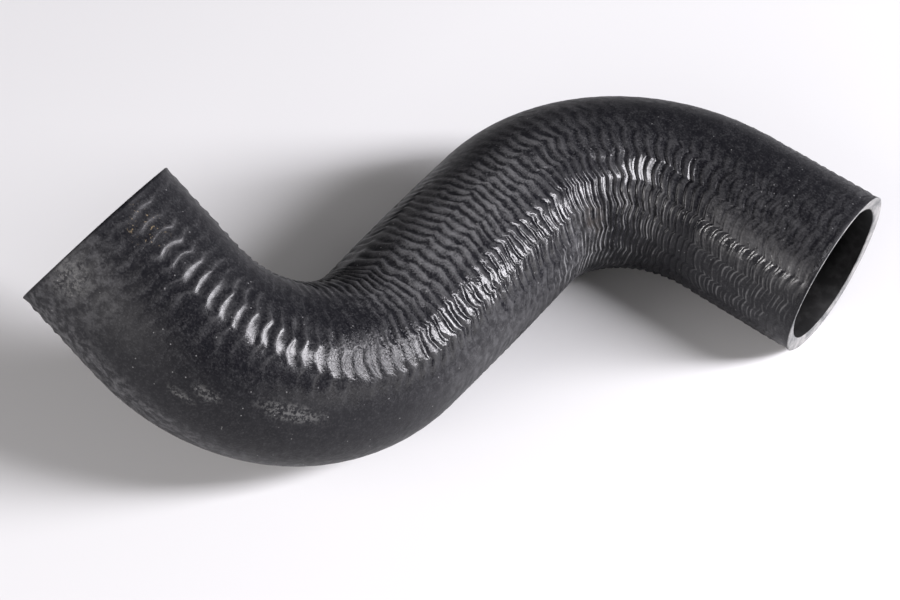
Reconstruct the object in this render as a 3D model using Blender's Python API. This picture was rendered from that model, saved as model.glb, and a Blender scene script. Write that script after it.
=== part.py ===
"""Moulded charge air hose, as it lies on a surface.

Two legs and the bend between them lie flat, and the second bend turns the third leg up.
The knitted reinforcement under the cover shows outside as scalloped ribs round the hose.
Metres, +Z up. The origin is under the middle of the hose, on the surface that it lies on.
"""

import math

import bmesh
import bpy
from mathutils import Matrix, Vector

# Section of the hose
BORE_DIAMETER = 0.050
WALL = 0.005

# Straight legs, each measured between its bends or to its cut end
FLAT_LEG = 0.0425
MIDDLE_LEG = 0.070
RAISED_LEG = 0.033

# Bends, on the centreline
FLAT_BEND_RADIUS = 0.056
FLAT_BEND_TURN = math.radians(90)
RAISED_BEND_RADIUS = 0.056
RAISED_BEND_TURN = math.radians(90)
RAISED_LEG_RISE = math.radians(25.5)

# Ribs that the knit presses into the cover: one rib for each row of loops, one scallop for each loop
RIB_PITCH = 0.0046
RIB_HEIGHT = 0.0008
SCALLOPS = 20
SCALLOP_DEPTH = 0.0020
PLAIN_END = 0.0075

# Ribs flatten where a bend stretches the cover and deepen where it crowds it
RIB_FADE = 1.3
RIB_FADE_RUN = 0.015

# Rings of the smooth bore in each bend
BORE_RINGS_IN_BEND = 10

RUBBER_COLOUR = (0.032, 0.032, 0.037, 1.0)
RUBBER_ROUGHNESS = 0.42

OUTER_RADIUS = BORE_DIAMETER / 2 + WALL
COLUMNS = 2 * SCALLOPS


def clear_scene():
    for obj in list(bpy.data.objects):
        bpy.data.objects.remove(obj, do_unlink=True)


def spans():
    """The centreline from the flat end to the raised end, as (length, bend radius, side) for each run.

    A radius of 0 is a straight run. Side is the way to the bend's centre, seen along the hose:
    X is ahead, Y is left and Z is up.
    """
    left = Vector((0, 1, 0))
    right_and_up = Vector((0, -math.cos(RAISED_LEG_RISE), math.sin(RAISED_LEG_RISE)))
    return (
        (FLAT_LEG, 0, left),
        (FLAT_BEND_RADIUS * FLAT_BEND_TURN, FLAT_BEND_RADIUS, left),
        (MIDDLE_LEG, 0, left),
        (RAISED_BEND_RADIUS * RAISED_BEND_TURN, RAISED_BEND_RADIUS, right_and_up),
        (RAISED_LEG, 0, right_and_up),
    )


def travel(distance, radius, side):
    """The move along one run: ahead on a straight, round the bend's centre on a bend."""
    if not radius:
        return Matrix.Translation((distance, 0, 0))
    to_centre = Matrix.Translation(radius * side)
    turn = Matrix.Rotation(distance / radius, 4, Vector((1, 0, 0)).cross(side))
    return to_centre @ turn @ to_centre.inverted()


def station(distance):
    """The frame of the centreline this far from the flat end, and the bend there as a vector.

    The vector points to the bend's centre, and its length is the curvature, eased in and out
    at the bend's two ends.
    """
    place = Matrix.Rotation(math.pi, 4, "Z")
    for length, radius, side in spans():
        run = min(distance, length)
        place = place @ travel(run, radius, side)
        distance -= run
        if distance <= 0:
            break
    if not radius:
        return place, Vector()
    ease = min(1, min(run, length - run) / RIB_FADE_RUN)
    return place, side * ease / radius


def around(angle):
    """Unit vector across the hose, from its top round to its left."""
    return Vector((0, math.sin(angle), math.cos(angle)))


def outer_ring(bm, distance, valley, scalloped):
    """One ring of the cover. On a scalloped ring every second point lies ahead of its neighbours."""
    ring = []
    for column in range(COLUMNS):
        shift = SCALLOP_DEPTH * ((column % 2) - 0.5) if scalloped else 0
        place, bend = station(distance + shift)
        across = around(2 * math.pi * column / COLUMNS)
        stretch = -OUTER_RADIUS * across.dot(bend)
        depth = RIB_HEIGHT * (1 - RIB_FADE * stretch) if valley else 0
        ring.append(bm.verts.new(place @ (across * (OUTER_RADIUS - depth))))
    return ring


def cover_rings(bm):
    """Rings of the cover from end to end: a plain ring at each cut, and crests and valleys between."""
    length = sum(run for run, _, _ in spans())
    ribs = round((length - 2 * PLAIN_END) / RIB_PITCH)
    half_rib = (length - 2 * PLAIN_END) / (2 * ribs)
    rings = [outer_ring(bm, 0, valley=False, scalloped=False)]
    for step in range(2 * ribs + 1):
        rings.append(outer_ring(bm, PLAIN_END + step * half_rib, valley=step % 2 == 1, scalloped=True))
    rings.append(outer_ring(bm, length, valley=False, scalloped=False))
    return rings


def bore_rings(bm):
    """Rings of the smooth bore: one at each end of a straight, several round each bend."""
    distances = [0.0]
    for length, radius, _ in spans():
        steps = BORE_RINGS_IN_BEND if radius else 1
        start = distances[-1]
        distances += [start + length * (step + 1) / steps for step in range(steps)]
    rings = []
    for distance in distances:
        place, _ = station(distance)
        angles = [2 * math.pi * side / SCALLOPS for side in range(SCALLOPS)]
        rings.append([bm.verts.new(place @ (around(angle) * BORE_DIAMETER / 2)) for angle in angles])
    return rings


def skin(bm, rings):
    """Four-sided faces between each ring and the next."""
    for ring, following in zip(rings, rings[1:]):
        count = len(ring)
        for i in range(count):
            j = (i + 1) % count
            bm.faces.new((ring[i], ring[j], following[j], following[i]))


def cut_face(bm, outer, inner):
    """The flat cut end of the wall: each side of the bore faces two sides of the cover."""
    for i, point in enumerate(inner):
        j = (i + 1) % len(inner)
        bm.faces.new((point, outer[2 * i], outer[2 * i + 1], outer[2 * j], inner[j]))


def rubber():
    material = bpy.data.materials.new("rubber")
    material.use_nodes = True
    shader = material.node_tree.nodes["Principled BSDF"]
    shader.inputs["Base Color"].default_value = RUBBER_COLOUR
    shader.inputs["Roughness"].default_value = RUBBER_ROUGHNESS
    shader.inputs["Metallic"].default_value = 0.0
    return material


def lay_down(bm):
    """Puts the lowest point on the surface, and the origin under the middle of the hose."""
    low = Vector([min(v.co[axis] for v in bm.verts) for axis in range(3)])
    high = Vector([max(v.co[axis] for v in bm.verts) for axis in range(3)])
    middle = (low + high) / 2
    bmesh.ops.translate(bm, verts=bm.verts, vec=(-middle.x, -middle.y, -low.z))


def hose():
    bm = bmesh.new()
    cover = cover_rings(bm)
    bore = bore_rings(bm)
    skin(bm, cover)
    skin(bm, bore)
    cut_face(bm, cover[0], bore[0])
    cut_face(bm, cover[-1], bore[-1])
    bmesh.ops.recalc_face_normals(bm, faces=bm.faces)
    lay_down(bm)
    mesh = bpy.data.meshes.new("hose")
    bm.to_mesh(mesh)
    bm.free()
    mesh.shade_smooth()
    mesh.set_sharp_from_angle(angle=math.radians(60))
    mesh.materials.append(rubber())
    obj = bpy.data.objects.new("hose", mesh)
    bpy.context.collection.objects.link(obj)
    return obj


clear_scene()
hose()
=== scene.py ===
"""The looks of a moulded charge air hose that lies on a pale surface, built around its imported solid."""

import math

import bpy
import numpy as np
from mathutils import Matrix, Vector


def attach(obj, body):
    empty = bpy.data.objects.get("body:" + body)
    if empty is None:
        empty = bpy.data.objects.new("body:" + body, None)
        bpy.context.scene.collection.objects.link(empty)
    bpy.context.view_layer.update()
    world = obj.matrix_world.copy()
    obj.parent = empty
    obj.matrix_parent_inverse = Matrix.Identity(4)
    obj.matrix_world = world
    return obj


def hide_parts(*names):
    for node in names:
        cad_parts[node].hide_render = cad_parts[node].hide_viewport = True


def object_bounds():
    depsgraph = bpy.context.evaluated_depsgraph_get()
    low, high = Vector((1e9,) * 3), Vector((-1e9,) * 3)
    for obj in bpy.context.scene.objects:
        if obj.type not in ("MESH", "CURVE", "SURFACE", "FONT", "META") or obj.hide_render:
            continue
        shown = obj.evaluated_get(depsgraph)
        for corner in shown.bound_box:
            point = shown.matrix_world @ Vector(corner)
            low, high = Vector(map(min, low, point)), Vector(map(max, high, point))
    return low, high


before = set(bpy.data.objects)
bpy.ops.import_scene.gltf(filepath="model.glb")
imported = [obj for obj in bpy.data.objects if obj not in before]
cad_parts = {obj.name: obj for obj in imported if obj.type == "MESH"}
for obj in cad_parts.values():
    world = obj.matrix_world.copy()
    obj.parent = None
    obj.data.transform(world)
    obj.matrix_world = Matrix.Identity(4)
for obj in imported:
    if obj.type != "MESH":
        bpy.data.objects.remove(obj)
cad_low, cad_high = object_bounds()


# Viewpoint
# A long lens looks down on the hose from over its flat end, so that the raised end stands at the left
# and the bore of the flat end shows at the right.
camera_data = bpy.data.cameras.new("camera")
camera_data.sensor_width = 36.0
camera_data.lens = 128.0
camera_data.clip_end = 10.0
camera = bpy.data.objects.new("camera", camera_data)
camera.location = (0.29827, -0.65440, 0.80409)
camera.rotation_euler = tuple(math.radians(turn) for turn in (41.857, -8.660, 34.089))
bpy.context.scene.collection.objects.link(camera)
bpy.context.scene.camera = camera


# Hose
# One length of moulded black rubber over a knitted yarn reinforcement. The knit is wrapped on the tube
# and cured on a bent core, so each row of loops stands out of the cover as a scalloped rib. The ribs
# crowd and deepen on the inside of a bend, and stretch flat on its outside.

# Lengths are in metres, and the angles in the tables in degrees. A distance is taken along the
# centreline from the raised end, and an angle from the top of the hose towards its left.
OUTER_RADIUS = 0.030
WALL = 0.005

# Runs of the centreline from the flat end to the raised end: length, bend radius (0 is straight), and
# the side on which the bend's centre lies, seen along the hose with X ahead, Y left and Z up
RISE = math.radians(25.5)
BEND_RADIUS = 0.056
QUARTER = BEND_RADIUS * math.pi / 2
TO_LEFT = (0.0, 1.0, 0.0)
TO_RIGHT_AND_UP = (0.0, -math.cos(RISE), math.sin(RISE))
RUNS = (
    (0.0425, 0.0, TO_LEFT),
    (QUARTER, BEND_RADIUS, TO_LEFT),
    (0.070, 0.0, TO_LEFT),
    (QUARTER, BEND_RADIUS, TO_RIGHT_AND_UP),
    (0.033, 0.0, TO_RIGHT_AND_UP),
)
LENGTH = sum(run[0] for run in RUNS)

# Middle of the flat end: at the end of the solids along X, and one radius in from their side and above
# the surface that they lie on
FLAT_END = np.array((cad_high.x, cad_high.y - OUTER_RADIUS, cad_low.z + OUTER_RADIUS))

# The core is a little slimmer in the bends than in the legs: share of the outer radius by share of
# the length
GIRTH_AT = (0, 0.10, 0.22, 0.34, 0.45, 0.55, 0.66, 0.78, 0.90, 1)
GIRTH = (1.004, 1.010, 0.988, 0.960, 0.995, 1.0, 0.985, 0.985, 0.995, 1.003)


def smooth_step(value, low, high):
    """0 below low, 1 above high, and the cubic 3t² - 2t³ between them."""
    share = np.clip((value - low) / (high - low), 0, 1)
    return share * share * (3 - 2 * share)


# A spline is a mean of this many samples, over a window of this many times its shortest step
SPLINE_SAMPLES = 9
SPLINE_WINDOW = 1.2


def spline(value, stations, heights):
    """A smooth curve through the given heights: straight-line steps, averaged over a short window."""
    window = np.linspace(-0.5, 0.5, SPLINE_SAMPLES) * min(np.diff(stations)) * SPLINE_WINDOW
    return sum(np.interp(value + shift, stations, heights) for shift in window) / len(window)


# A ripple is a sum of this many waves, each between these two times as long as its lumps
RIPPLE_WAVES = 28
WAVE_PER_LUMP = (1.4, 2.8)


def ripple(along, angle, size, seed):
    """Even, seeded unevenness of about -1 to 1 with lumps of the given size.

    A sum of cosines of (k·along + m·angle + start) with random k and whole m, so it closes round the hose.
    """
    draw = np.random.default_rng(seed)
    heading = draw.uniform(0, 2 * math.pi, RIPPLE_WAVES)
    number = 2 * math.pi / (size * draw.uniform(*WAVE_PER_LUMP, RIPPLE_WAVES))
    start = draw.uniform(0, 2 * math.pi, RIPPLE_WAVES)
    total = np.zeros(np.broadcast(along, angle).shape)
    for k, m, s in zip(number * np.cos(heading), np.round(number * np.sin(heading) * OUTER_RADIUS), start):
        total += np.cos(k * along + m * angle + s)
    return total * math.sqrt(2 / RIPPLE_WAVES) / 2


def along_run(run, radius, side):
    """Places and axes at distances into one run, with X ahead at its start.

    On a straight run the point moves ahead. On a bend of radius r it has turned by t = distance / r, so
    it has moved by r(sin t) ahead and r(1 - cos t) to the side, and ahead and side turn with it.
    """
    ahead, side = np.array((1.0, 0.0, 0.0)), np.array(side)
    if not radius:
        return run[..., None] * ahead, np.broadcast_to(np.eye(3), run.shape + (3, 3))
    t = (run / radius)[..., None]
    step = radius * (np.sin(t) * ahead + (1 - np.cos(t)) * side)
    t = t[..., None]
    still = np.outer(np.cross(ahead, side), np.cross(ahead, side))
    in_plane = np.outer(ahead, ahead) + np.outer(side, side)
    swap = np.outer(side, ahead) - np.outer(ahead, side)
    return step, still + np.cos(t) * in_plane + np.sin(t) * swap


def centreline(along):
    """Places and axes of the centreline at distances from the raised end, as arrays (..., 3).

    The runs follow each other from the flat end, which faces along X, so each begins where the one before
    it stops and is turned as that one ends. The first and the last run go on past the ends.
    """
    walked = LENGTH - np.asarray(along, float)
    place = np.zeros(walked.shape + (3,))
    axes = np.zeros(walked.shape + (3, 3))
    origin = FLAT_END.copy()
    turned = np.diag((-1.0, -1.0, 1.0))
    begun = 0.0
    for number, (length, radius, side) in enumerate(RUNS):
        first = number == 0
        last = number == len(RUNS) - 1
        here = ((walked >= begun) | first) & ((walked < begun + length) | last)
        step, turn = along_run(walked[here] - begun, radius, side)
        place[here] = origin + step @ turned.T
        axes[here] = turned @ turn
        step, turn = along_run(np.array(length), radius, side)
        origin = origin + turned @ step
        turned = turned @ turn
        begun += length
    return place, axes


def surface(along, angle, radius):
    """Points of a tube of this radius: place + radius(sin angle · left + cos angle · up)."""
    place, axes = centreline(along)
    across = np.sin(angle)[..., None] * axes[..., 1] + np.cos(angle)[..., None] * axes[..., 2]
    return place + radius[..., None] * across


def girth(along):
    """The radius of the cover's crests: the outer radius times its share at this share of the length."""
    return OUTER_RADIUS * spline(along / LENGTH, GIRTH_AT, GIRTH)


# A bend's pull on the cover reaches a little past the bend's ends
BEND_REACH = 0.020


def stretch(along, angle):
    """How far a bend stretches the cover here, below 0 where it crowds it.

    Minus radius × curvature × cosine of the angle to the bend's centre, eased past the bend's ends.
    """
    walked = LENGTH - along
    total = np.zeros(np.broadcast(along, angle).shape)
    begun = 0.0
    for length, radius, side in RUNS:
        if radius:
            share = smooth_step(walked, begun - BEND_REACH, begun + BEND_REACH)
            share = share - smooth_step(walked, begun + length - BEND_REACH, begun + length + BEND_REACH)
            inward = math.atan2(side[1], side[2])
            total -= share * OUTER_RADIUS / radius * np.cos(angle - inward)
        begun += length
    return total


# Places on the cover where something is stronger than elsewhere are ovals: distance, angle, half the
# length, half the angle and, where it isn't 1, the strength. An oval is at full strength up to the first
# share of its reach, and gone at the second.
PLACE_FULL, PLACE_GONE = 0.35, 1.15


def patch(along, angle, centre, turn, half_length, half_turn, strength=1.0):
    """The given strength in the middle of an oval place on the cover, falling smoothly to 0 at its edge.

    The share lost is the smooth cubic of the distance from the middle in half lengths and half turns.
    """
    off = (np.degrees(angle) - turn + 180) % 360 - 180
    reach = np.hypot((along - centre) / half_length, off / half_turn)
    return strength * (1 - smooth_step(reach, PLACE_FULL, PLACE_GONE))


def places(along, angle, spots):
    """The strongest of several oval places at each point."""
    return np.max([patch(along, angle, *spot) for spot in spots], axis=0)


# Ribs: spacing along the hose by distance, and the number of steps in which they are counted
RIB_SPACING_AT = (
    0.0, 0.040, 0.050, 0.078, 0.086, 0.145, 0.155, 0.185, 0.195, 0.248, 0.258, 0.276,
    0.284, 0.3215,
)
RIB_SPACING = (
    0.0048, 0.0048, 0.0045, 0.0045, 0.0040, 0.0041, 0.0036, 0.0036, 0.0041, 0.0043, 0.0047, 0.0047,
    0.0034, 0.0034,
)
COUNT_STEPS = 4000

# Loops round the hose in each rib, and the angle of the first cusp between two loops by distance. It
# drifts because the rows are wound at a slant, and each row strays a little from it.
LOOPS = 20
CUSP_AT = (0.0, 0.050, 0.075, 0.110, 0.145, 0.170, 0.212, 0.230, 0.248, 0.262, 0.300, 0.3215)
CUSP_ANGLE = (5, 7, 13, 16, 11, 10, 19, 22.5, 31, 39, 41, 42)
CUSP_DRIFT = math.radians(1.5)
CUSP_DRIFT_LUMP = 0.006

# Rings in each rib, by share of the spacing from its crest, and columns in each loop, by share of the
# loop. Rings nearer to a cut than these shares of a rib are left out, so that none passes its edge.
RIB_STEPS = (0.0, 0.08, 0.18, 0.36, 0.50, 0.62, 0.80)
RIB_START, RIB_STOP = 0.25, 0.35
COLUMN_STEPS = (0.0, 0.13, 0.28, 0.44, 0.60, 0.76, 0.88, 0.94)


def weave():
    """Rib count, loop count, distance and angle where each ring crosses each column.

    The rib count at a distance is the sum of the steps up to there, each divided by the spacing. A ring is
    at the distance where the count is its own. A column's angle is the first cusp's, plus its loop count
    times the turn of a loop, plus the row's own drift.
    """
    fine = np.linspace(0, LENGTH, COUNT_STEPS)
    steps = np.diff(fine) / spline(fine, RIB_SPACING_AT, RIB_SPACING)[1:]
    counted = np.concatenate([[0], np.cumsum(steps)])
    rib = (np.arange(int(counted[-1]) + 1)[:, None] + np.array(RIB_STEPS)).ravel()
    rib = rib[(rib > RIB_START) & (rib < counted[-1] - RIB_STOP)]
    rib = np.concatenate([[0.0], rib, [counted[-1]]])[:, None]
    loop = (np.arange(-LOOPS / 2, LOOPS / 2)[:, None] + np.array(COLUMN_STEPS)).ravel()
    loop = np.append(loop, LOOPS / 2)[None, :]
    rib, loop = np.broadcast_arrays(rib, loop)
    along = np.interp(rib, counted, fine)
    angle = np.radians(spline(along, CUSP_AT, CUSP_ANGLE) + loop * 360 / LOOPS)
    return rib, loop, along, angle + CUSP_DRIFT * ripple(along, 0 * angle, CUSP_DRIFT_LUMP, seed=6)


# How far a loop bulges towards the raised end between its cusps, and how uneven that is
BULGE_AT = (0.0, 0.050, 0.075, 0.100, 0.190, 0.215, 0.240, 0.262, 0.3215)
BULGE = (0.0012, 0.0015, 0.0014, 0.0006, 0.0006, 0.0018, 0.0020, 0.0012, 0.0013)
BULGE_UNEVENNESS = 0.3
BULGE_LUMP = 0.010

# How far a loop slants from one cusp to the next, and how much more in one place on the left, where the
# middle leg meets the flat bend. Past the last of these, a share of the loop, it steps back to where the
# next loop begins.
SLANT_AT = (0.0, 0.060, 0.080, 0.100, 0.150, 0.195, 0.212, 0.225, 0.245, 0.262, 0.285, 0.300, 0.3215)
SLANT = (
    0.0012, 0.0008, 0.0, -0.0006, -0.0008, -0.0008, -0.0003, 0.0010, 0.0016, 0.0029, 0.0025, 0.0012, 0.0010
)
SLANTED_PLACE = (0.198, 88, 0.034, 34)
PLACE_SLANT = 0.0026
JUMP_AT = 0.87

# How far a row wanders along the hose, in lumps that are longer than they are wide, because distances
# along the hose count at this share, and the share of that by which the row wiggles from loop to loop
WAVE_AT = (0.0, 0.085, 0.110, 0.190, 0.215, 0.250, 0.3215)
WAVE = (0.0005, 0.0006, 0.0013, 0.0013, 0.0006, 0.0005, 0.0006)
WAVE_LUMP = 0.007
WAVE_SHORTENING = 0.4
WIGGLE = 0.28
WIGGLE_LUMP = 0.0032

# A row is straight at the cut, and has its full scallops at this distance from each end
RAISED_STRAIGHT = 0.006
FLAT_STRAIGHT = 0.004


def scalloped(along, angle, share):
    """The distance of each point once its row is scalloped, share being its share of the loop.

    A loop bulges by 4u(1 - u) towards the raised end and slants by (u - 1/2), u being the share, and past
    JUMP_AT a smooth step takes the slant back.
    """
    jump = smooth_step(share, JUMP_AT, 1.0)
    slant = spline(along, SLANT_AT, SLANT) + PLACE_SLANT * patch(along, angle, *SLANTED_PLACE)
    bulge = spline(along, BULGE_AT, BULGE) * (1 + BULGE_UNEVENNESS * ripple(along, angle, BULGE_LUMP, seed=5))
    scallop = slant * ((share - 0.5) * (1 - jump) - 0.5 * jump) - bulge * (4 * share * (1 - share) - 0.5)
    wave = spline(along, WAVE_AT, WAVE)
    wander = wave * ripple(WAVE_SHORTENING * along, angle, WAVE_LUMP, seed=4)
    wander = wander + WIGGLE * wave * ripple(along, angle, WIGGLE_LUMP, seed=8)
    inside = smooth_step(along, 0, RAISED_STRAIGHT) * smooth_step(LENGTH - along, 0, FLAT_STRAIGHT)
    return along + inside * (scallop + wander)


# Depth of the groove between two ribs on a straight run, how much a bend adds to it or takes from it,
# the least share of it that stays, and the depth that no groove passes
RIB_DEPTH = 0.00044
RIB_FADE = 2.2
LEAST_DEPTH = 0.1
DEEPEST = 0.0013

# Places where the cover lies thick over the knit and the ribs hardly show, places where they are
# shallower or deeper, and the share of the depth that each kind takes or adds
SMOOTH_PLACES = (
    (0.040, 125, 0.060, 26),
    (0.050, 82, 0.052, 28),
    (0.136, 82, 0.030, 30),
    (0.052, -4, 0.062, 30),
    (0.086, 4, 0.026, 28),
    (0.186, -40, 0.028, 24),
    (0.272, -12, 0.062, 38),
)
SMOOTH_TAKES = 0.88
SHALLOW_PLACES = ((0.302, 60, 0.034, 90), (-0.004, 40, 0.044, 90, 1.4), (0.203, 38, 0.014, 18))
SHALLOW_TAKES = 0.45
DEEP_PLACES = ((0.108, 40, 0.036, 26, 0.8), (0.216, 62, 0.030, 50, 0.5))
DEEP_ADDS = 0.80

# Unevenness of the depth by distance, its lumps, and the least and the most share that it leaves
UNEVEN_AT = (0.195, 0.215)
UNEVEN = (0.6, 0.3)
UNEVEN_LUMP = 0.006
UNEVEN_LIMITS = (0.1, 1.8)

# The ribs fade out over this distance from each cut
RAISED_FADE = 0.004
FLAT_FADE = 0.0015

# A cusp's middle and width by share of the loop, places where the ribs are weak at the cusps, and the
# share of the depth that they lose there
CUSP_MIDDLE = 0.93
CUSP_WIDTH = 0.15
BROKEN_PLACES = ((0.145, 10, 0.080, 70), (0.300, 0, 0.040, 40))
BROKEN_TAKES = 0.4


def groove_depth(along, moved, angle, cusp):
    """Depth of the groove: the straight run's, times a share for the bend, the place and the cusp.

    The bend's share is 1 - RIB_FADE × stretch. The limit on the depth is d·tanh(depth / d).
    """
    depth = RIB_DEPTH * np.clip(1 - RIB_FADE * stretch(moved, angle), LEAST_DEPTH, None)
    depth = depth * (1 - SMOOTH_TAKES * places(moved, angle, SMOOTH_PLACES))
    depth = depth * (1 - SHALLOW_TAKES * places(moved, angle, SHALLOW_PLACES))
    depth = depth * (1 + DEEP_ADDS * places(moved, angle, DEEP_PLACES))
    uneven = np.interp(along, UNEVEN_AT, UNEVEN)
    depth = depth * np.clip(1 + uneven * ripple(moved, angle, UNEVEN_LUMP, seed=7), *UNEVEN_LIMITS)
    depth = depth * smooth_step(along, 0, RAISED_FADE) * smooth_step(LENGTH - along, 0, FLAT_FADE)
    depth = DEEPEST * np.tanh(depth / DEEPEST)
    return depth * (1 - BROKEN_TAKES * cusp * places(moved, angle, BROKEN_PLACES))


# Section of a rib, as its height at each of RIB_STEPS. Near the raised end it is a crest, a short drop
# and an easy rise. On the middle run it is one round ridge. In the flat bend it is a shelf with two
# edges and a wide steep groove.
STEP_RIB = (1.0, 0.62, 0.22, 0.02, 0.05, 0.15, 0.45)
ROUND_RIB = (1.0, 0.97, 0.78, 0.22, 0.0, 0.10, 0.66)
SHELF_RIB = (1.0, 0.88, 0.72, 0.53, 0.47, 0.0, 0.42)
SECTION_AT = (0.078, 0.104, 0.200, 0.222)
SECTIONS = (STEP_RIB, ROUND_RIB, ROUND_RIB, SHELF_RIB)
SLOPE_UNEVENNESS = 0.30
SLOPE_LUMP = 0.004


def rib_height(rib, along, moved, angle):
    """Height in the section, from 0 in the groove to 1 on the crest, passing from section to section.

    The unevenness is strongest half way up, as 4h(1 - h), so crests and grooves keep their level.
    """
    height = np.zeros(rib.shape)
    for number, heights in enumerate(SECTIONS):
        section = np.interp(rib % 1, (*RIB_STEPS, 1.0), (*heights, heights[0]))
        height += section * np.interp(along, SECTION_AT, np.eye(len(SECTIONS))[number])
    rough = ripple(moved, angle, SLOPE_LUMP, seed=9)
    return np.clip(height + SLOPE_UNEVENNESS * height * (1 - height) * 4 * rough, 0, 1)


# Towards the flat end one row of cusps has low caps in place of ribs: the height of a cap, how far its
# middle lies past the crest and how far it reaches, both by share of the spacing
KNOTTED_PLACES = ((0.288, 58, 0.050, 13),)
KNOT_HEIGHT = 0.00011
KNOT_PAST_CREST = 0.10
KNOT_REACH = 0.36

# A rib of this depth or more counts as a full crest for the dust that lies on it
FULL_CREST = 0.0003


def cover_grid():
    """Rib count, loop count, distance, angle, radius and crest share of the cover.

    A ring follows one rib and a column follows one place in a loop, so both run with the weave. A cusp is
    exp(-x²) of the distance x from its middle in widths, and a cap is the parabola 1 - y², with y the
    distance from its middle in reaches, which takes the rib's place as exp(-y⁴).
    """
    rib, loop, along, angle = weave()
    share = loop % 1
    moved = scalloped(along, angle, share)
    cusp = np.exp(-(((share - CUSP_MIDDLE + 0.5) % 1 - 0.5) / CUSP_WIDTH) ** 2)
    depth = groove_depth(along, moved, angle, cusp)
    height = rib_height(rib, along, moved, angle)
    off_cap = ((rib - KNOT_PAST_CREST + 0.5) % 1 - 0.5) / KNOT_REACH
    knot = np.exp(-off_cap ** 4) * cusp * places(moved, angle, KNOTTED_PLACES)
    cap = KNOT_HEIGHT * (1 - off_cap ** 2)
    radius = girth(moved) - depth * (1 - height) * (1 - knot) + cap * knot
    return rib, loop, moved, angle, radius, height * np.clip(depth / FULL_CREST, 0, 1)


# Cut ends: how far the knife wandered, where the rings of the cut stand by share of the wall, and how
# far the worn edges have dropped there
CUT_WAVE = 0.00025
CUT_WAVE_LUMP = 0.030
CUT_SHARES = (0.0, 0.07, 0.3, 0.7, 0.95)
CUT_DROPS = (0.00030, 0.0, 0.00008, 0.00008, 0.0)

# The flat end's face leans in towards the bore on the side where the knife went in: how far, at which
# angle, how wide, and the share of the wall where the lean is nothing
CUT_LEAN = 0.0016
CUT_LEAN_AT = math.radians(35)
CUT_LEAN_SPREAD = 0.3
CUT_LEAN_FROM = 0.3


def cut_end(angle, at, outward, lean, seed):
    """Rings of a knife cut from the cover's edge to the bore: a slightly wavy face with worn edges.

    On the side where the knife went in, the face leans inwards by lean × (share of the wall - the share
    where the lean is nothing).
    """
    shares, drops = np.array(CUT_SHARES)[:, None], np.array(CUT_DROPS)[:, None]
    wave = CUT_WAVE * (ripple(np.zeros(angle.shape), angle, CUT_WAVE_LUMP, seed) - 1)
    leaning = np.clip(CUT_LEAN_SPREAD + np.cos(angle - CUT_LEAN_AT), 0, 1)
    inwards = lean * (shares - CUT_LEAN_FROM) * leaning
    along = at + outward * (wave - drops - inwards)
    radius = girth(np.full(angle.shape, at)) - WALL * shares
    return np.broadcast_to(along, radius.shape), np.broadcast_to(angle, radius.shape), radius


# The wall in four stacks of rings that follow each other: the cover from the raised end to the flat
# end, the flat cut, the bore on the way back, which starts and stops just inside the cuts, and the
# raised cut
BORE_RINGS = 34
BORE_LIP = 0.0003
rib, loop, along, angle, radius, crest = cover_grid()
flat_angle, raised_angle = angle[-1:], angle[:1]
flat_cut = cut_end(flat_angle, LENGTH, 1, CUT_LEAN, seed=21)
raised_cut = [part[::-1] for part in cut_end(raised_angle, 0.0, -1, 0.0, seed=22)]
bore_share = np.linspace(0, 1, BORE_RINGS)[:, None]
flat_lip, raised_lip = flat_cut[0][-1:] - BORE_LIP, raised_cut[0][:1] + BORE_LIP
bore_along = flat_lip + (raised_lip - flat_lip) * bore_share
bore_angle = flat_angle + (raised_angle - flat_angle) * bore_share
bore = (bore_along, bore_angle, np.full(bore_along.shape, OUTER_RADIUS - WALL))
cover = (along[1:-1], angle[1:-1], radius[1:-1])

stacks = (cover, flat_cut, bore, raised_cut)
ring_counts = [len(stack[0]) for stack in stacks]
covered = ring_counts[0]
all_along, all_angle, all_radius = (np.concatenate(parts)[:, :-1] for parts in zip(*stacks))
points = surface(all_along, all_angle, all_radius)

# Nothing goes below the surface that the hose lies on
points[..., 2] = np.maximum(points[..., 2], cad_low.z)

# Every ring is joined to the next, and the last to the first, so the wall closes on itself
rings, columns = all_along.shape
corner = np.arange(rings)[:, None] * columns + np.arange(columns)[None, :]
after = np.roll(corner, -1, axis=1)
next_corner, next_after = np.roll(corner, -1, axis=0), np.roll(after, -1, axis=0)
faces = np.stack([corner, after, next_after, next_corner], -1).reshape(-1, 4)

mesh = bpy.data.meshes.new("hose_rubber")
mesh.from_pydata(points.reshape(-1, 3).tolist(), [], faces.tolist())
mesh.update()
hose = bpy.data.objects.new("hose_rubber", mesh)
bpy.context.scene.collection.objects.link(hose)
mesh.shade_smooth()

# Materials by ring of faces. The ring that leaves the bore at the raised end is cut rubber, and the two
# that turn over the worn edge of that end are cover.
COVER, CUT, BORE = 0, 1, 2
band = np.repeat((COVER, CUT, BORE, CUT), ring_counts)
band[sum(ring_counts[:3]) - 1] = CUT
band[-2:] = COVER
mesh.polygons.foreach_set("material_index", np.repeat(band, columns).astype(np.int32))


def corner_map(name, here, ahead):
    """A UV map from pairs at each grid point, given with one column more, and for the ring ahead of it."""
    pairs = np.stack([here[:, :-1], here[:, 1:], ahead[:, 1:], ahead[:, :-1]], axis=2)
    mesh.uv_layers.new(name=name).data.foreach_set("uv", pairs.astype(np.float32).ravel())


# Bake map: the cover, the bore above it, and above both a thin strip for each cut. A chart says whether
# its rings run along the map, at what height it starts, and how high it is.
CHARTS = ((False, 0.0, 0.60), (True, 0.955, 0.018), (False, 0.61, 0.335), (True, 0.98, 0.018))


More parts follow.
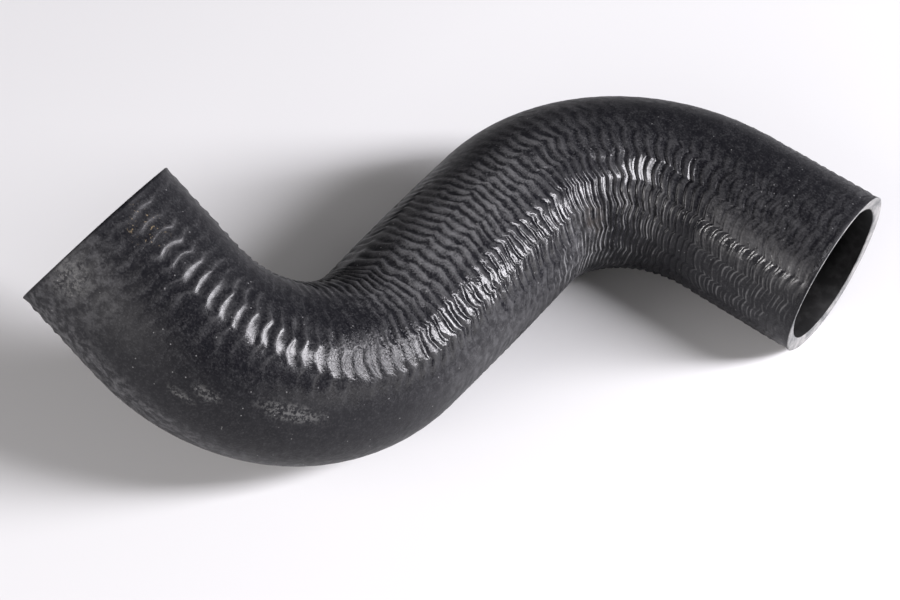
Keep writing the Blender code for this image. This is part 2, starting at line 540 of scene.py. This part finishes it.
def chart(ring_share, rings_along, start, high):
    """Pairs for rings at these shares of a stack: the share one way, and the share of the turn the other."""
    ring_share, turn_share = np.broadcast_arrays(ring_share[:, None], np.linspace(0, 1, columns + 1))
    if rings_along:
        return np.stack((turn_share, start + high * ring_share), -1)
    return np.stack((ring_share, start + high * turn_share), -1)


ring_shares = [np.linspace(0, 1, count + 1) for count in ring_counts]
ring_shares[0] = np.append(along[1:-1].mean(axis=1) / LENGTH, 1.0)
here = [chart(share[:-1], *form) for share, form in zip(ring_shares, CHARTS)]
ahead = [chart(share[1:], *form) for share, form in zip(ring_shares, CHARTS)]
corner_map("OFBake", np.concatenate(here), np.concatenate(ahead))

# Weave map: the count of ribs and of loops, and 0 off the cover
woven = np.zeros((rings, columns + 1, 2))
woven[:covered] = np.stack([rib[1:-1], loop[1:-1]], -1)
corner_map("weave", woven, np.roll(woven, -1, axis=0))

# Worn places and places of painted light, by the name of the share that the cover's material reads: grey
# dust, a dull grey bloom with a painted sheen, painted highlights on the rib edges, rubbed shine, fine
# wrinkles, rough grain, rusty specks, scuffs and one brown stain
WORN_AND_PAINTED_PLACES = {
    "dust": ((0.150, -2, 0.070, 34),),
    # Painted sheen: most of these places stand in for the floor's reflection on the sides and underside, and
    # for the glints on the flat leg; the two on the belly are blotchy bloom
    "painted_sheen_and_bloom": (
        (0.150, 74, 0.048, 32, 0.36),
        (0.196, 80, 0.020, 42, 0.65),
        (0.025, 130, 0.055, 22, 0.7),
        (0.006, 92, 0.022, 44, 0.45),
        (0.052, 84, 0.044, 30, 0.03),
        (0.300, 40, 0.030, 30, 0.22),
    ),
    # Painted highlights: pale lines along the rib edges, where the lamps leave no glint
    "painted_edge_highlight": ((0.218, 76, 0.050, 46), (0.300, 84, 0.030, 40, 0.34)),
    "shine": ((0.170, 42, 0.200, 50), (0.288, 57, 0.046, 13, 1.1)),
    "wrinkle": ((0.295, 52, 0.040, 52, 0.8), (0.150, 41, 0.064, 18, 1.0)),
    "grain": ((0.094, 34, 0.024, 26), (0.225, 12, 0.030, 12), (0.150, 0, 0.060, 34, 0.6)),
    "rust": ((0.010, 35, 0.009, 12),),
    "scuff": ((0.071, 75, 0.010, 7), (0.052, 84, 0.004, 5), (0.048, 94, 0.004, 3), (0.006, 90, 0.008, 16)),
    "stain": ((0.207, 63, 0.009, 13),),
}

# Dust lies a little everywhere, more where the cover faces up, and most in its own place
DUST_ANYWHERE = 0.04
DUST_ON_TOP = 0.18
DUST_IN_PLACE = 0.6
TOP_STARTS, TOP_FULL = 0.1, 0.95

wear_and_painted_light = {name: places(along, angle, spots)[1:-1, :-1] for name, spots in WORN_AND_PAINTED_PLACES.items()}
facing_up = (points - centreline(all_along)[0])[:covered, :, 2] / OUTER_RADIUS
settled = DUST_ANYWHERE + DUST_ON_TOP * smooth_step(facing_up, TOP_STARTS, TOP_FULL)
wear_and_painted_light["dust"] = settled + DUST_IN_PLACE * wear_and_painted_light["dust"]
wear_and_painted_light["wrinkle"] = wear_and_painted_light["wrinkle"] * (1 - places(along, angle, KNOTTED_PLACES)[1:-1, :-1])
wear_and_painted_light["crest"] = crest[1:-1, :-1]
for name, share in wear_and_painted_light.items():
    values = np.zeros((rings, columns), np.float32)
    values[:covered] = share
    mesh.attributes.new(name, "FLOAT", "POINT").data.foreach_set("value", values.ravel())


def feed(tree, socket, wire):
    """Links another node's socket to this one, or sets its value, or leaves it alone for None."""
    if isinstance(wire, bpy.types.NodeSocket):
        tree.links.new(wire, socket)
    elif wire is not None:
        socket.default_value = wire


def node(tree, kind, *wires, **options):
    """Adds a node, sets its options, and feeds its inputs in order."""
    made = tree.nodes.new("ShaderNode" + kind)
    for name, value in options.items():
        setattr(made, name, value)
    for socket, wire in zip(made.inputs, wires):
        feed(tree, socket, wire)
    return made


def blend_colour(tree, share, first, second):
    """A colour between two others by a share from 0 to 1."""
    made = tree.nodes.new("ShaderNodeMix")
    made.data_type = "RGBA"
    for name, wire in (("Factor", share), ("A", first), ("B", second)):
        feed(tree, made.inputs[name], wire)
    return made.outputs["Result"]


def noise(tree, place, scale, detail=3.0, rough=0.55):
    """Even noise from about 0.25 to 0.75, with lumps of about 1 / scale."""
    return node(tree, "TexNoise", place, None, scale, detail, rough).outputs["Fac"]


def ramp(tree, value, low, high, out_low=0.0, out_high=1.0):
    """Takes low to out_low and high to out_high, held at both ends."""
    return node(tree, "MapRange", value, low, high, out_low, out_high).outputs["Result"]


def times(tree, first, second):
    return node(tree, "Math", first, second, operation="MULTIPLY").outputs[0]


def plus(tree, first, second):
    return node(tree, "Math", first, second, operation="ADD").outputs[0]


def swing(tree, value):
    """The distance to the nearest whole number, from 0 to 0.5."""
    return node(tree, "Math", value, 0.5, operation="PINGPONG").outputs[0]


def blank_rubber(name):
    """A new material, its node tree and shader, and places in metres on the object."""
    material = bpy.data.materials.new(name)
    material.use_nodes = True
    tree = material.node_tree
    return material, tree, tree.nodes["Principled BSDF"], node(tree, "TexCoord").outputs["Object"]


def roughen(tree, shader, height):
    """Bumps the shader's surface by a height in metres."""
    bump = node(tree, "Bump")
    bump.inputs["Distance"].default_value = 1.0
    tree.links.new(height, bump.inputs["Height"])
    tree.links.new(bump.outputs["Normal"], shader.inputs["Normal"])


# Colours of the cover, of what lies and shows on it, and of the light painted on it
BLACK_RUBBER = (0.004, 0.004, 0.006, 1)
GREY_DUST = (0.150, 0.150, 0.154, 1)
# A grey that is partly bloom and partly a painted sheen of reflected light
SHEEN_AND_BLOOM_GREY = (0.105, 0.105, 0.110, 1)
DULL_HAZE = (0.12, 0.12, 0.125, 1)
# A pale grey painted on the rib edges as highlights
EDGE_HIGHLIGHT_GREY = (0.27, 0.27, 0.275, 1)
SCUFFED_GREY = (0.090, 0.090, 0.090, 1)
BROWN_STAIN = (0.065, 0.056, 0.050, 1)
RUSTY_SPECK = (0.26, 0.20, 0.12, 1)
LOOSE_SPECK = (0.26, 0.26, 0.26, 1)

# Roughness of the cover from its glossiest to its dullest patches, and how much the rubbed places lose
GLOSSY, DULL = 0.42, 0.56
RUBBED_LOSES = 0.32

# Heights of the cover's lumps, of its orange peel, of both in grainy places, and of its wrinkles
LUMP_HEIGHT, GRAINY_LUMP_HEIGHT = 0.00010, 0.00012
PEEL_HEIGHT, GRAINY_PEEL_HEIGHT = 0.00003, 0.00015
WRINKLE_HEIGHT = 0.00009
WRINKLES_PER_RIB = 2.0

# Cells in a metre, of which a few hold a loose speck
SPECK_CELLS = 520.0


def cover_rubber():
    """Satin black rubber: dust on the ribs and in specks, a painted sheen and painted highlights, fine orange
    peel, and a skin of uneven gloss.
    """
    material, tree, shader, place = blank_rubber("cover_rubber")
    share = {name: node(tree, "Attribute", attribute_name=name).outputs["Fac"] for name in wear_and_painted_light}
    rib_count = node(tree, "SeparateXYZ", node(tree, "UVMap", uv_map="weave").outputs["UV"]).outputs["X"]
    lumps = noise(tree, place, scale=300.0)
    peel = noise(tree, place, scale=1300.0)
    crumbs = noise(tree, place, scale=2400.0, detail=2.0, rough=0.7)
    streaks = noise(tree, place, scale=170.0, rough=0.65)

    # Dust lies in crumbs: the crest and three sizes of noise are added up, and what passes a level is
    # dusty, as far as the dust share allows
    heaped = plus(tree, times(tree, share["crest"], 0.60), times(tree, lumps, 1.1))
    heaped = plus(tree, heaped, plus(tree, times(tree, peel, 0.8), times(tree, crumbs, 1.4)))
    lying = ramp(tree, heaped, 1.68, 2.40, out_low=0.05)
    colour = blend_colour(tree, times(tree, lying, share["dust"]), BLACK_RUBBER, GREY_DUST)

    # Grey bloom comes out in blotches, with a painted sheen of reflected light in the same places, and a thin
    # haze lies between them
    blotches = noise(tree, place, scale=380.0, detail=2.0)
    blotches = plus(tree, blotches, times(tree, plus(tree, peel, crumbs), 0.24))
    mottle = ramp(tree, blotches, 0.66, 0.94)
    painted_sheen_and_bloom = times(tree, share["painted_sheen_and_bloom"], ramp(tree, mottle, 0.0, 1.0, out_low=0.08))
    colour = blend_colour(tree, painted_sheen_and_bloom, colour, SHEEN_AND_BLOOM_GREY)
    haze = plus(tree, times(tree, mottle, 0.03), times(tree, ramp(tree, peel, 0.52, 0.70), 0.11))
    colour = blend_colour(tree, haze, colour, DULL_HAZE)

    # Painted highlights on the edges of a rib: one on its crest, and a fainter one in the middle of its slope
    crest_highlight = ramp(tree, swing(tree, rib_count), 0.12, 0.03)
    slope_highlight = ramp(tree, swing(tree, plus(tree, rib_count, 0.48)), 0.08, 0.03, out_high=0.6)
    edges = times(tree, plus(tree, crest_highlight, slope_highlight), share["painted_edge_highlight"])
    edges = times(tree, edges, ramp(tree, streaks, 0.43, 0.62))
    colour = blend_colour(tree, edges, colour, EDGE_HIGHLIGHT_GREY)

    # Scuffs, the stain and rusty specks each show in part of their own place
    chafed = noise(tree, place, scale=800.0, detail=5.0, rough=0.7)
    scuffed = times(tree, share["scuff"], ramp(tree, chafed, 0.47, 0.58))
    colour = blend_colour(tree, scuffed, colour, SCUFFED_GREY)
    stained = times(tree, share["stain"], ramp(tree, lumps, 0.40, 0.60))
    colour = blend_colour(tree, times(tree, stained, 0.6), colour, BROWN_STAIN)
    flecks = noise(tree, place, scale=700.0, detail=2.0)
    rusty = times(tree, share["rust"], ramp(tree, flecks, 0.64, 0.70))
    colour = blend_colour(tree, times(tree, rusty, 0.8), colour, RUSTY_SPECK)

    # Loose specks, a few of them in each square centimetre: the middles of a few picked cells
    cells = node(tree, "TexVoronoi", place, None, SPECK_CELLS)
    pick = node(tree, "SeparateColor", cells.outputs["Color"]).outputs["Red"]
    speck = times(tree, ramp(tree, cells.outputs["Distance"], 0.15, 0.07), ramp(tree, pick, 0.86, 0.90))
    colour = blend_colour(tree, times(tree, speck, 0.6), colour, LOOSE_SPECK)
    tree.links.new(colour, shader.inputs["Base Color"])

    # The side that faces the window is rubbed shiny, the rest is duller
    skin = noise(tree, place, scale=500.0, detail=4.0)
    gloss = ramp(tree, skin, 0.3, 0.7, GLOSSY, DULL)
    gloss = plus(tree, gloss, times(tree, share["shine"], -RUBBED_LOSES))
    tree.links.new(gloss, shader.inputs["Roughness"])
    shader.inputs["Specular IOR Level"].default_value = 0.235

    # Lumps and orange peel, and fine wrinkles that run with the ribs
    coarse = plus(tree, LUMP_HEIGHT, times(tree, share["grain"], GRAINY_LUMP_HEIGHT))
    fine = plus(tree, PEEL_HEIGHT, times(tree, share["grain"], GRAINY_PEEL_HEIGHT))
    pimples = plus(tree, peel, times(tree, crumbs, 0.5))
    height = plus(tree, times(tree, lumps, coarse), times(tree, pimples, fine))
    turns = plus(tree, times(tree, rib_count, WRINKLES_PER_RIB), times(tree, streaks, 1.2))
    fold = node(tree, "Math", times(tree, turns, 2 * math.pi), operation="SINE").outputs[0]
    fold = times(tree, fold, ramp(tree, streaks, 0.42, 0.60, out_low=0.2))
    height = plus(tree, height, times(tree, fold, times(tree, share["wrinkle"], WRINKLE_HEIGHT)))
    roughen(tree, shader, height)
    return material


# Colours and saw marks of the cut wall
SAWN_GREY = (0.085, 0.090, 0.092, 1)
CHALKED_GREY = (0.27, 0.265, 0.26, 1)
SAW_MARK_HEIGHT = 0.00012


def cut_rubber():
    """The sawn wall: rubber chalked pale grey by the blade, mottled and matt."""
    material, tree, shader, place = blank_rubber("cut_rubber")
    crumbs = noise(tree, place, scale=1100.0, detail=4.0, rough=0.7)
    smudges = plus(tree, noise(tree, place, scale=150.0), times(tree, crumbs, 0.8))
    colour = blend_colour(tree, ramp(tree, smudges, 0.72, 1.08), SAWN_GREY, CHALKED_GREY)
    tree.links.new(colour, shader.inputs["Base Color"])
    shader.inputs["Roughness"].default_value = 0.75
    roughen(tree, shader, times(tree, noise(tree, place, scale=1500.0), SAW_MARK_HEIGHT))
    return material


# Colours of the liner inside
BORE_BLACK = (0.003, 0.003, 0.003, 1)
BORE_DUST = (0.012, 0.012, 0.012, 1)


def bore_rubber():
    """The smooth inside of the tube, black and a little dusty."""
    material, tree, shader, place = blank_rubber("bore_rubber")
    dust = ramp(tree, noise(tree, place, scale=260.0, detail=5.0), 0.45, 0.7)
    tree.links.new(blend_colour(tree, dust, BORE_BLACK, BORE_DUST), shader.inputs["Base Color"])
    shader.inputs["Roughness"].default_value = 0.6
    shader.inputs["Specular IOR Level"].default_value = 0.12
    return material


for material in (cover_rubber(), cut_rubber(), bore_rubber()):
    mesh.materials.append(material)

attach(hose, "root")
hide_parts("hose")


# Floor
# A plain pale sheet under the hose, wide enough to fill the view. It is matt, and keeps the hose's
# shadow.
FLOOR_HALF = 4.0
FLOOR_PALE = (0.68, 0.68, 0.68, 1)
floor_corners = [(x * FLOOR_HALF, y * FLOOR_HALF, 0) for x, y in ((-1, -1), (1, -1), (1, 1), (-1, 1))]
floor_mesh = bpy.data.meshes.new("floor")
floor_mesh.from_pydata(floor_corners, [], [(0, 1, 2, 3)])
floor = bpy.data.objects.new("floor", floor_mesh)
bpy.context.scene.collection.objects.link(floor)
paper = bpy.data.materials.new("pale_floor")
paper.use_nodes = True
paper_shader = paper.node_tree.nodes["Principled BSDF"]
paper_shader.inputs["Base Color"].default_value = FLOOR_PALE
paper_shader.inputs["Roughness"].default_value = 0.9
paper_shader.inputs["Specular IOR Level"].default_value = 0.1
floor_mesh.materials.append(paper)


# Lights
# A long window high on the right makes the main highlight, a wide pale one behind the lens the second,
# a small one low in front the glints of the flat leg, and a wide weak one the underside on the right.

# All of them face the middle of the hose, at the height of the flat leg's centreline
AIM = Vector((0, 0, OUTER_RADIUS))


def soft_box(name, towards, side, distance, width, height, radiance, colour):
    """A rectangle of light that faces the hose, its width along side. Its power is radiance × area × pi."""
    data = bpy.data.lights.new(name, "AREA")
    data.shape = "RECTANGLE"
    data.size = width
    data.size_y = height
    data.energy = radiance * width * height * math.pi
    data.color = colour
    lamp = bpy.data.objects.new(name, data)
    back = Vector(towards).normalized()
    upward = back.cross(Vector(side)).normalized()
    across = upward.cross(back)
    turn = Matrix((across, upward, back)).transposed().to_4x4()
    lamp.matrix_world = Matrix.Translation(AIM + back * distance) @ turn
    bpy.context.scene.collection.objects.link(lamp)


soft_box(
    "window",
    towards=(0.735, 0.43, 0.525),
    side=(0.10, 0.70, -0.70),
    distance=1.5,
    width=1.27,
    height=0.30,
    radiance=43.0,
    colour=(0.97, 0.95, 1.0),
)
soft_box(
    "behind_lens",
    towards=(-0.20, -0.84, 0.50),
    side=(0.97, -0.25, 0.0),
    distance=1.6,
    width=1.5,
    height=0.75,
    radiance=3.2,
    colour=(1.0, 0.96, 0.97),
)
soft_box(
    "front_strip",
    towards=(-0.28, -0.93, 0.22),
    side=(0.95, -0.29, 0.0),
    distance=1.6,
    width=0.50,
    height=0.16,
    radiance=54.0,
    colour=(1.0, 0.97, 0.97),
)
soft_box(
    "low_right",
    towards=(0.96, 0.10, 0.18),
    side=(-0.10, 0.99, 0.0),
    distance=1.5,
    width=2.4,
    height=0.42,
    radiance=2.6,
    colour=(1.0, 0.97, 0.96),
)

world = bpy.data.worlds.new("world")
world.use_nodes = True
background = world.node_tree.nodes["Background"]
background.inputs["Color"].default_value = (0.95, 0.95, 1.0, 1)
background.inputs["Strength"].default_value = 0.04
bpy.context.scene.world = world
bpy.context.scene.view_settings.view_transform = "Standard"
